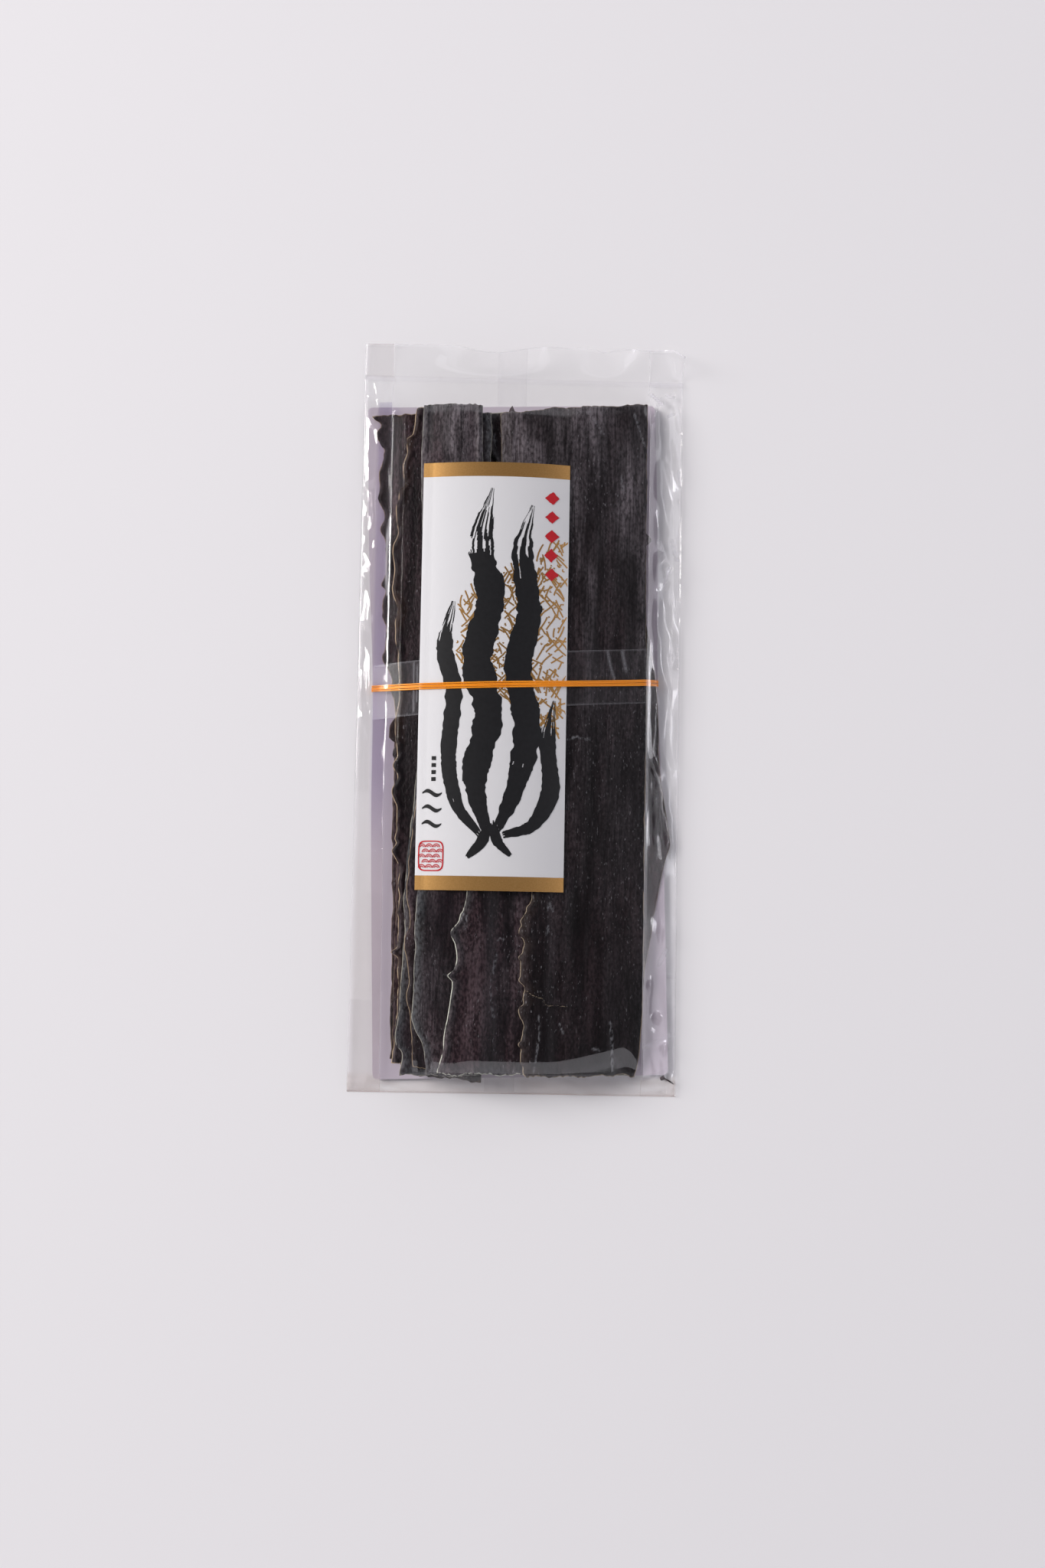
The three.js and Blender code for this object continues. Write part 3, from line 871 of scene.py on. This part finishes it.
PLANT = (
    ((-2, -76, 2), (-8, -50, 6), (-2, -20, 7), (-8, 8, 7.2), (-2, 38, 6.8), (-7, 64, 6), (-2, 92, 1)),
    ((3, -76, 2), (12, -54, 5), (17, -26, 6.4), (12, 4, 6.6), (17, 32, 6), (13, 60, 5), (18, 84, 0.8)),
    ((-5, -78, 1.6), (-17, -62, 3), (-21, -38, 4), (-19, -10, 4), (-24, 14, 4), (-20, 36, 0.8)),
    ((6, -78, 1.6), (19, -74, 3), (29, -54, 4.4), (27, -32, 3.8), (30, -12, 0.8)),
    ((-11, -89, 1), (-4, -81, 2.8), (-1, -72, 1.6)),
    ((10, -88, 1), (3, -80, 2.6), (1, -71, 1.4)),
)
for blade, path in enumerate(PLANT):
    brush_stroke(f"brushed_blade_{blade + 1}", path, 2 + blade, seed=720 + 10 * blade)

# Red lozenges in a column at the upper right
LOZENGES, LOZENGE_PITCH, LOZENGE_HALF = 5, 9.5, (3.6, 3.3)
lozenge, number, across, along = copied_grid("red_lozenges", LOZENGES, 6, 6)
turned_u, turned_v = across + along - 1, along - across
wobble = 1 + 0.12 * soft_wave(5 * turned_u + 9 * number, 1.5, 801)
u = 27.5 + turned_u * LOZENGE_HALF[0] * wobble
v = 88 - number * LOZENGE_PITCH + turned_v * LOZENGE_HALF[1] * wobble
print_on_label(lozenge, u, v, TOP_LAYER, red_ink)

# Small black squares above three brushed waves at the lower left
SQUARE_SIZE, SQUARE_PITCH = (2.1, 1.9), 3.4
WAVE_SIZE, WAVE_PITCH, WAVE_SWELL = (9.5, 2.2), 7.5, 1.1
square, number, across, along = copied_grid("black_squares", 4, 2, 2)
v = -41 - SQUARE_PITCH * number + (along - 0.5) * SQUARE_SIZE[1]
print_on_label(square, -28 + (across - 0.5) * SQUARE_SIZE[0], v, TOP_LAYER, black_ink)
wave, number, across, along = copied_grid("black_waves", 3, 24, 3)
brush = (along - 0.5) * WAVE_SIZE[1] * np.sin(math.pi * (0.1 + 0.8 * across))
v = -58 - WAVE_PITCH * number + WAVE_SWELL * np.sin(2 * math.pi * across) + brush
print_on_label(wave, -28.5 + (across - 0.5) * WAVE_SIZE[0], v, TOP_LAYER, black_ink)

# The stamp: a red line round rows of overlapping wave arcs
STAMP_U, STAMP_V = -28.5, -88.5
STAMP_HALF, STAMP_LINE = (6.2, 7.4), 0.6
ARC_PITCH = (3.5, 2.5)
frame_line, across, along = grid_piece("red_stamp_frame", 64, 1)
turn = 2 * math.pi * across
squared = (np.abs(np.cos(turn)) ** 5 + np.abs(np.sin(turn)) ** 5) ** -0.2
u = STAMP_U + (STAMP_HALF[0] - along * STAMP_LINE) * np.cos(turn) * squared
v = STAMP_V + (STAMP_HALF[1] - along * STAMP_LINE) * np.sin(turn) * squared
print_on_label(frame_line, u, v, TOP_LAYER, red_ink)
ARC_ROWS, ARC_COLUMNS, ARC_RADII, ARC_LINE = 5, 3, (1.8, 1.0), 0.45
arc, number, across, along = copied_grid("red_stamp_waves", ARC_ROWS * ARC_COLUMNS * len(ARC_RADII), 10, 1)
arc_row, arc_column = number // 2 // ARC_COLUMNS, number // 2 % ARC_COLUMNS
radius = np.array(ARC_RADII)[number % 2] - along * ARC_LINE
shift = 0.5 * (arc_row % 2) - 1.25
u = STAMP_U + (arc_column + shift) * ARC_PITCH[0] + radius * np.cos(math.pi * across)
v = STAMP_V + (arc_row - 2.3) * ARC_PITCH[1] + radius * np.sin(math.pi * across)
print_on_label(arc, u, v, TOP_LAYER, red_ink)


# Rubber band. A thin amber band doubled twice round the whole stack, over the label and the
# belt, so that four strands lie side by side.

STRAND = 0.74
STRAND_PITCH = 0.8
STRAND_SIDES = 8
BAND_Y = 14.3
BAND_RISE = 0.041
BAND_DIP = 1.5  # it lies this much lower on the crown
BAND_HALF = 2.5
BAND_STEPS = 260

on_label = np.abs(plan_x - LABEL_CENTRE[0]) < LABEL_WIDTH / 2
on_label &= np.abs(plan_y - LABEL_CENTRE[1]) < LABEL_LENGTH / 2
stack = np.maximum(stack, np.where(on_label, label_height(plan_x), 0))


def band_y(x):
    return BAND_Y + BAND_RISE * x - BAND_DIP * np.maximum(1 - (x / 72) ** 2, 0)


# Amber rubber: smooth and satin, a little deeper in colour here and there.
amber = mottled("amber_rubber", "e88800", "fca212", 16.7, 2.0, {"Roughness": 0.35})
loop_x, loop_z = loop_round_stack(BAND_Y, BAND_RISE, BAND_HALF, STRAND / 2, BAND_STEPS)
for strand in range(4):
    piece, around, ring = grid_piece(f"rubber_strand_{strand + 1}", BAND_STEPS, STRAND_SIDES)
    station = np.round(around * BAND_STEPS).astype(int)
    before, after = (station - 1) % BAND_STEPS, (station + 1) % BAND_STEPS
    run_x, run_z = loop_x[after] - loop_x[before], loop_z[after] - loop_z[before]
    run = np.maximum(np.hypot(run_x, run_z), 1e-6)
    x, z = loop_x[station], loop_z[station]
    lane = (strand - 1.5) * STRAND_PITCH + 0.15 * soft_wave(x, 40, 300 + strand)
    out = STRAND / 2 * np.cos(2 * math.pi * ring)
    y = band_y(x) + lane + STRAND / 2 * np.sin(2 * math.pi * ring)
    place_corners(piece, x - run_z / run * out, y, z + run_x / run * out)
    weld(0.01)
    finish_piece(piece, amber)


# Bag film. One tube of clear film with its sides folded in, drawn tight over the stack. Its
# top end is heat sealed below a loose flap, and its bottom end is folded up behind.

BAG_HALF = 80.0
BAG_BOTTOM = -186.0
SEAL_Y = 169.0
FLAP_LENGTH = 17.0
SIDE_EDGE_Z = 1.5
BACK_Z = 0.3
FILM_GAP = 0.25
LAYER_GAP = 0.35
STACK_SIDE = 64.0  # the stack ends within this, and the side margins begin
CREASE_HALF = 0.8
UNDER_FILM = (0.3, 0.8)  # how high the folded-in film lies in the left and the right margin
CREASE_HEIGHTS = (5.0, 9.0)  # the folded film stands up along its inner creases, left and right
crease_left = line_through([(184.6, -64.9), (152, -65.7), (-3.6, -65.3), (-179.4, -64.1)])
crease_right = line_through([(167.3, 63.0), (20.8, 63.2), (-62.3, 62.9), (-177.3, 62.8)])

band_zone = (np.abs(plan_y - band_y(plan_x)) < 2) & (np.abs(plan_x) < 74)
loop_x, loop_z = loop_round_stack(BAND_Y, BAND_RISE, BAND_HALF, STRAND, BAND_STEPS)
over_band = np.interp(plan_x[0], loop_x[:200], loop_z[:200])
contents = np.where(band_zone, np.maximum(stack, over_band), stack)

# Kelp crumbs in the corner at the lower right: one chip with a curled thread of margin
CRUMB_X, CRUMB_Y, CRUMB_Z = 74.0, -177.2, 1.3
crumb, around, along = grid_piece("kelp_crumb", 10, 24)
turn = 2 * math.pi * around
radius = 0.32 + 1.1 * np.exp(-(((along - 0.16) / 0.13) ** 2))
radius = radius * np.sqrt(np.clip(4 * along, 0, 1)) * np.sqrt(np.clip(6 * (1 - along), 0, 1))
x = CRUMB_X - 1.6 + 7.0 * along + radius * np.cos(turn) * 0.5
y = CRUMB_Y + 0.4 - 3.2 * along ** 1.6 + radius * np.cos(turn)
place_corners(crumb, x, y, CRUMB_Z + 0.6 * radius * np.sin(turn))
mark(crumb, rim_place=9, from_edge=1, brown=1, bloom=0.3)
weld(0.01)
finish_piece(crumb, kelp)
near_crumb = np.hypot(plan_x - CRUMB_X - 1, plan_y - CRUMB_Y + 0.5) < 4
contents = np.where(near_crumb, np.maximum(contents, CRUMB_Z + 0.9), contents)

left_line, right_line = crease_left(plan_y), crease_right(plan_y)
near_crease = (np.abs(plan_x - left_line) < CREASE_HALF) | (np.abs(plan_x - right_line) < CREASE_HALF)
near_crease &= (plan_y > -178) & (plan_y < 148)
in_margin = (plan_x < left_line) | (plan_x > right_line)
contents = contents + np.where(plan_x < 0, *UNDER_FILM) * in_margin
on_stack = (np.abs(plan_x) < 60) & (plan_y > -177) & (plan_y < 149)
bed = np.where(on_stack, np.maximum(contents, pressed_top(plan_x, plan_y) + FILM_GAP), contents)
PULLS, PULL_ALONG, PULL_ACROSS = 900, 0.36, 0.14  # rounds of pulling, and each way's share


def stretch_film():
    """Draws the film over the contents: taut lengthwise, looser across, fixed at its rim."""
    crease_height = np.where(plan_x < 0, *CREASE_HEIGHTS)
    floor = np.where(near_crease, np.maximum(bed, crease_height), bed) + FILM_GAP
    pinned = near_crease & (plan_x < 0)
    inside = (np.abs(plan_x) < BAG_HALF) & (plan_y > BAG_BOTTOM) & (plan_y < SEAL_Y)
    rim = np.where(np.abs(plan_x) >= BAG_HALF, SIDE_EDGE_Z, BACK_Z + 0.4)
    film = np.where(inside, np.maximum(floor, SIDE_EDGE_Z), rim)
    for _ in range(PULLS):
        along = np.roll(film, 1, 0) + np.roll(film, -1, 0)
        across = np.roll(film, 1, 1) + np.roll(film, -1, 1)
        loose = np.where(pinned, 0, PULL_ALONG * along + PULL_ACROSS * across)
        film = np.where(inside, np.maximum(floor, loose), rim)
    crease = np.where(plan_x < 0, left_line, right_line)
    at_crease = height_on(film, crease, plan_y)
    out = np.clip((BAG_HALF - np.abs(plan_x)) / (BAG_HALF - np.abs(crease)), 0, 1)
    bulge = 1.05 + 0.3 * soft_wave(plan_y + 40 * (plan_x < 0), 24, 541)
    sagging = SIDE_EDGE_Z + (at_crease - SIDE_EDGE_Z) * out ** bulge
    film = np.where(in_margin & inside, np.maximum(sagging, floor), film)
    eased = np.where(plan_y < -158, blurred(film, 1, 1), blurred(film, 1, 6))
    return np.where(inside, np.maximum(eased, contents + 0.05), rim)


film_plan = stretch_film()


def facets(x, y, spacing_x, spacing_y, seed):
    """Random flat triangles, as in crumpled film, from -1 to 1."""
    column = (x + 2.5 * soft_wave(y, 13, seed + 1)) / spacing_x + 31.4
    row = (y + 3.5 * soft_wave(x, 9, seed + 2)) / spacing_y + 30.2
    (h00, h10, h01, h11), across, up = cell_at(random_table(seed), column, row)
    lower = h00 + (h10 - h00) * across + (h01 - h00) * up
    upper = h11 + (h01 - h11) * (1 - across) + (h10 - h11) * (1 - up)
    return np.where(across + up < 1, lower, upper)


# Single sharp folds of the side margins: peak, half widths and slope of each side
TENTS = (
    ((-76.4, 121), (2.0, 16), 0.38), ((-77.4, 101), (1.8, 8), 0.38), ((-76.2, 70), (2.8, 4.5), 0.38),
    ((-75.4, 46), (3.4, 9), 0.38), ((-77, 159), (2.2, 4), 0.5), ((-77.6, 86), (1.4, 6), 0.38),
    ((-77.2, 16), (1.6, 7), 0.38), ((-74.5, 145), (1.2, 5), 0.38), ((66, 154), (2.4, 3.4), 1.0),
    ((68.8, 80), (2.6, 3.6), 1.0), ((72.4, 75), (1.9, 2.4), 1.0), ((73, 60), (2, 8), 0.95),
    ((69.8, 144.5), (1.9, 2), 1.0), ((75, 30), (2, 5), 0.95), ((-67.5, -69), (1.5, 2), 0.4),
    ((71.5, -106), (2, 7), 1.0), ((70, -148), (2.6, 4), 1.0), ((66.5, -132), (1.6, 6), 0.95),
    ((74, -163), (2, 5), 1.0),
)


def crumple(x, y, height):
    """Creases of the slack film: large flat facets in the side margins, small ones elsewhere."""
    past_stack = np.maximum.reduce([np.abs(x) - 65, y - 152, -176 - y, 0 * y])
    from_bag_edge = BAG_HALF - np.abs(x)
    loose = ease(past_stack / 3) * ease(from_bag_edge / np.where(x < 0, 3.5, 1.5))
    in_side = ease((np.abs(x) - STACK_SIDE) / 4)
    large = 1.9 * facets(x, y, 5.5, 16, 501) + 0.35 * facets(x, y, 2.4, 7, 511)
    pleats = np.maximum(np.abs(facets(x, y, 4.5, 14, 531)) - 0.3, 0) * 4.5
    pleats = pleats * ease((y + 30) / 50) * ease((-71 - x) / 2.5)
    small = 0.35 * facets(x, y, 9, 7, 521) + 0.2 * facets(x, y, 3, 5, 531)
    room = np.clip((height - 1.4) / 2.5, 0.1, 1)
    right = (0.35 + 0.65 * ease((y + 90) / 60)) * room * large
    margin = np.where(x < 0, pleats + 0.2 * room * large, right)
    sharp = sum(
        slope * half_x * np.maximum(1 - np.abs(x - at_x) / half_x - np.abs(y - at_y) / half_y, 0)
        for (at_x, at_y), (half_x, half_y), slope in TENTS
    )
    return loose * (in_side * margin + (1 - in_side) * room * small) + sharp * ease(from_bag_edge / 1.5)


FLAP_CURLS = ((-16, 62, 26), (40, 52, 12), (80, 60, 6))  # place across, lift in degrees, half width
FLAP_BEND = 7.0


def flap_point(x, length):
    """A point of the loose flap, a length of film above the seal: its y and z."""
    lifts = [lift * np.exp(-(((x - at) / half) ** 2)) for at, lift, half in FLAP_CURLS]
    lift = np.radians(np.max(lifts, axis=0)) + 1e-4
    bent = np.minimum(length, FLAP_BEND)
    reached = lift * bent / FLAP_BEND
    radius = FLAP_BEND / lift
    y = SEAL_Y + radius * np.sin(reached) + (length - bent) * np.cos(reached)
    z = radius * (1 - np.cos(reached)) + (length - bent) * np.sin(reached)
    return y, z


# The tube's stations go once round from the middle of the back: half the back, in to the left
# crease and out again, the front, in to the right crease and out again, and half the back
BACK_STEPS, GUSSET_STEPS, FRONT_STEPS, BODY_ROWS, FLAP_ROWS = 12, 12, 168, 355, 22
ROUND = 2 * BACK_STEPS + 4 * GUSSET_STEPS + FRONT_STEPS
bag, around, up = grid_piece("bag_film", ROUND, BODY_ROWS + FLAP_ROWS)
station = np.round(around * ROUND).astype(int)
row = np.round(up * (BODY_ROWS + FLAP_ROWS)).astype(int)
in_flap = row > BODY_ROWS
y_flat = BAG_BOTTOM + (SEAL_Y - BAG_BOTTOM) * np.minimum(row, BODY_ROWS) / BODY_ROWS
flap_length = np.maximum(row - BODY_ROWS, 0) / FLAP_ROWS * FLAP_LENGTH
halves = [GUSSET_STEPS, GUSSET_STEPS]
a, b, c, d, e, f = np.cumsum([BACK_STEPS] + halves + [FRONT_STEPS] + halves)
left_crease, right_crease = crease_left(y_flat), crease_right(y_flat)


def inward(start, end):
    """How far in from the side a gusset's stations are, 0 to 1, closer together at the crease."""
    step = np.clip(np.minimum(station - start, end - station), 0, GUSSET_STEPS)
    return 1 - (1 - step / GUSSET_STEPS) ** 1.6


x = np.select(
    [station <= a, station <= c, station <= d, station <= f],
    [
        -BAG_HALF * station / BACK_STEPS,
        -BAG_HALF + (left_crease + BAG_HALF) * inward(a, c),
        -BAG_HALF + 2 * BAG_HALF * (station - c) / FRONT_STEPS,
        BAG_HALF - (BAG_HALF - right_crease) * inward(d, f),
    ],
    BAG_HALF * (1 - (station - f) / BACK_STEPS),
)
is_back = (station <= a) | (station >= f)
is_front = (station >= c) & (station <= d)
in_gusset = ~is_front & ~is_back
outer_half = ((station > b) & (station < c)) | ((station > d) & (station < e))
parts = [is_front, is_back, outer_half]
stretched = height_on(film_plan, x, y_flat)
front_z = np.maximum(stretched + crumple(x, y_flat, stretched), height_on(contents, x, y_flat) + 0.1)
edge_share = ((np.abs(x) - STACK_SIDE) / (BAG_HALF - STACK_SIDE)).clip(0, 1) ** 3
gusset_back = (front_z - 2 * LAYER_GAP) * (1 - edge_share) + BACK_Z * edge_share
z = np.select(parts, [front_z, BACK_Z, front_z - LAYER_GAP], gusset_back)
fold = (station == b) | (station == e)
z = np.maximum(np.where(fold, front_z - 1.5 * LAYER_GAP, z), 0.5 * BACK_Z)

flap_y, flap_z = flap_point(x, flap_length)
opening = flap_length / FLAP_LENGTH
spread = 0.25 + 0.9 * opening * (0.5 + 0.5 * soft_wave(x, 15, 611))
layer = np.select(parts, [1.0, 0.0, 0.75], 0.3)
flap_rough = 0.8 * opening * (0.5 * facets(x, flap_length, 9, 7, 621) + 0.5)
z = np.where(in_flap, BACK_Z + flap_z + layer * spread + flap_rough, z)
y = np.where(in_flap, flap_y, y_flat)
place_corners(bag, x, y, z)

# Where the film is milky: its folds, seal and rim, and the end folded up behind. Painted highlights:
# brighter stretches along the inner folds, white lines on creases, and a short line low on the right.
# Painted shade and reflection: tinted, crinkled milk at the foot with a darker bottom line, and
# tinted milk in the left fold.
CREASE_GLINTS = (  # their points, half width and strength
    ([(-65.5, 96), (-66.5, 84), (-66.7, 72), (-65.7, 58)], 0.9, 0.7), ([(63.6, 163), (69.4, 158)], 0.9, 0.8),
    ([(68.3, 161), (65, 150.6)], 0.8, 0.35), ([(71.5, 163), (74.8, 162)], 0.8, 0.5),
    ([(72, 151.4), (74.8, 153)], 0.8, 0.5), ([(78.2, 124), (79.2, 117)], 0.8, 0.5),
    ([(68.2, 87), (69.2, 84)], 1.7, 0.6), ([(74.8, 88.5), (77.8, 79)], 0.8, 0.5),
    ([(73.6, 74.3), (70.7, 64.6)], 0.9, 0.8), ([(71, -121.5), (74.5, -115)], 1.4, 0.35),
    ([(64, -162), (78, -155.8)], 1.2, 0.2), ([(64, -177), (76, -173)], 1.4, 0.25),
)
FOLDED_UP_Y = -141  # the end is folded up behind to here, which doubles the film
at_seal = np.abs(row - BODY_ROWS) <= 1
side_fold = (station == a) | (station == c) | (station == d) | (station == f)
# The gusset's inner folds show as a thin milky line; its brighter stretches are painted highlights.
fold_line_and_glints = fold * (0.25 + 0.3 * np.maximum(soft_wave(y, 14, 551 + 3 * (x > 0)), 0))
# The left fold's film is milkier, more so towards the foot, and its milk is tinted: painted shade over the
# card.
in_left_gusset = in_gusset & (x < 0) & ((y_flat < 154) | in_flap)
milky = 0.001 + (0.025 + 0.045 * ease((-40 - y) / 60)) * in_left_gusset + 0.012 * in_gusset
milky = milky + 0.05 * side_fold + fold_line_and_glints + 0.06 * at_seal + 0.2 * (row == BODY_ROWS + FLAP_ROWS)
crease_glints = np.max([share * near_line(x, y, line, half) for line, half, share in CREASE_GLINTS], axis=0)
in_middle = ease((x + 60) / 60) * ease((60 - x) / 15)
# At the foot: tinted, crinkled milk and a darker line along the bottom edge, painted shade and reflection.
painted_foot_tone = ease((-177 - y) / 3) * (0.03 + 0.1 * in_middle + 0.1 * facets(x, y, 6, 2.5, 651))
# The end folded up behind doubles the film; the short line on the right is a painted highlight.
doubled_and_glint = 0.07 * (y < FOLDED_UP_Y) + 0.3 * near_line(x, y, [(66, -127.6), (74, -127.8)], 1.2)
milky = milky + crease_glints * is_front + is_back * (painted_foot_tone + doubled_and_glint + 0.35 * (y < BAG_BOTTOM + 1))

# Where it mirrors less: beside the stack, over the strips' ruffled edges and inside its folds
over_stack = (np.abs(x) < STACK_SIDE) & (y > -180) & (y < 150)
on_left_slope = (x > left_crease + 0.6) & (x < -48) & over_stack
over_ruffles = (x > -73) & (x < left_crease - 0.8) & (y < 150) & (y > -90)
right_sheen = 0.35 + 0.35 * (ease((y + 20) / 40) + ease((-90 - y) / 15))
sheen = np.where(x < 0, np.where(y > -40, 1.0, 0.5), right_sheen) * np.where(y_flat > 156, 0.6, 1)
sheen = np.where(over_stack, 1.0, np.where(over_ruffles, 0.15, sheen))
sheen = np.where((np.abs(x - left_crease) < 1.0) & (y > 97), 0.25, sheen)
# Painted shade: the brownish milk tint at the foot and in the left fold, and the dimmer see-through of the
# left fold over the card.
mark(
    bag, milky=milky, dusty=np.maximum(ease((-176 - y) / 2), 0.7 * in_left_gusset * ~fold),
    folded=in_gusset * (x < 0) * (x > -72.6) * (y_flat < 156) * ease((y_flat + 80) / 60),
    shine=np.where(is_front, 1.0, 0.15) * np.where(on_left_slope, 0.07, sheen),
)
weld(0.005)
bag_film = clear_film("clear_bag_film", "e8e6ec", 0.05)
finish_piece(bag, bag_film)

# The tube's own lengthwise seam, welded flat down the middle of the back
SEAM_X, SEAM_WIDTH, SEAM_Z = -5.9, 14.6, 0.15
seam, across, along = grid_piece("bag_back_seam", 4, 200)
x = SEAM_X + (across - 0.5) * SEAM_WIDTH
y = BAG_BOTTOM + 1 + along * (SEAL_Y + FLAP_LENGTH - BAG_BOTTOM - 1)
flap_y, flap_z = flap_point(x, np.maximum(y - SEAL_Y, 0))
in_flap = y > SEAL_Y
place_corners(seam, x, np.where(in_flap, flap_y, y), SEAM_Z + np.where(in_flap, flap_z, 0))
mark(seam, milky=0.05 + 0.06 * (np.abs(across - 0.5) > 0.49), shine=0.1)
bpy.ops.object.shade_smooth()
finish_piece(seam, bag_film)


# Stage: a pale floor under the pack, a soft box on the left, a wide white panel past the foot
# of the pack, a small window on the right, and a camera that looks down on the front.

bpy.ops.object.select_all(action="DESELECT")
bpy.ops.mesh.primitive_plane_add(size=8, location=(0, 0, 0))
floor = bpy.context.active_object
floor.name = "floor"
# Floor paint: matt and nearly white, so it takes the shadow and mirrors nothing.
floor_paint = bare_nodes(bpy.data.materials.new("pale_floor"))
matt = add_node(floor_paint, "BsdfDiffuse", {"Color": linear("e5e4e7")})
add_node(floor_paint, "OutputMaterial", {"Surface": matt})
floor.data.materials.append(floor_paint)


def stand(name, data, place):
    """Adds a lamp or camera at a place in millimetres."""
    holder = bpy.data.objects.new(name, data)
    bpy.context.scene.collection.objects.link(holder)
    holder.location = [p * MM for p in place]
    return holder


def soft_box(name, place, aim, width, length, watts, colour, lights_all=True):
    """A rectangular lamp that faces a point, in millimetres. It may show in gloss alone."""
    lamp = bpy.data.lights.new(name, "AREA")
    lamp.shape = "RECTANGLE"
    lamp.size, lamp.size_y = width * MM, length * MM
    lamp.energy = watts
    lamp.color = linear(colour)[:3]
    holder = stand(name, lamp, place)
    away = (np.array(place) - np.array(aim)).tolist()
    holder.rotation_euler = Vector(away).to_track_quat("Z", "Y").to_euler()
    holder.visible_camera = False
    holder.visible_diffuse = lights_all


soft_box("key_left", (-4230, 1300, 2300), (0, 0, 0), 1800, 2400, 302, "fffbf8")
soft_box("foot_panel", (450, -860, 1480), (450, -170, 0), 2800, 500, 6.5, "f6f4fb", lights_all=False)
soft_box("side_panel", (1230, 200, 860), (70, 200, 0), 1700, 760, 9.0, "f6f4fb", lights_all=False)
soft_box("window_right", (2000, 200, 1000), (0, 0, 0), 350, 450, 5, "faf8ff")

# Around the pack the studio is pale low down and dark overhead.
world = bare_nodes(bpy.data.worlds.new("studio"))
direction = add_node(world, "TexCoord", out="Generated")
height = add_node(world, "SeparateXYZ", {0: direction}, out="Z")
fade = {"Value": height, "From Min": 0.55, "From Max": 0.78, "To Min": 1.0, "To Max": 0.02}
glow = add_node(world, "MapRange", fade, interpolation_type="SMOOTHSTEP")
walls = add_node(world, "Background", {"Color": linear("f2f0f6"), "Strength": glow})
add_node(world, "OutputWorld", {"Surface": walls})
bpy.context.scene.world = world

CAMERA_PLACE = (-20.91, -112.82, 942.58)
CAMERA_TURN = (4.741, -1.528, 1.032)  # degrees
lens = bpy.data.cameras.new("camera")
lens.lens = 43.945
lens.sensor_width = 36.0
lens.clip_start, lens.clip_end = 0.05, 50.0
camera = stand("camera", lens, CAMERA_PLACE)
camera.rotation_euler = [math.radians(t) for t in CAMERA_TURN]
bpy.context.scene.camera = camera
bpy.context.scene.view_settings.view_transform = "Standard"
bpy.context.scene.cycles.transparent_max_bounces = 32
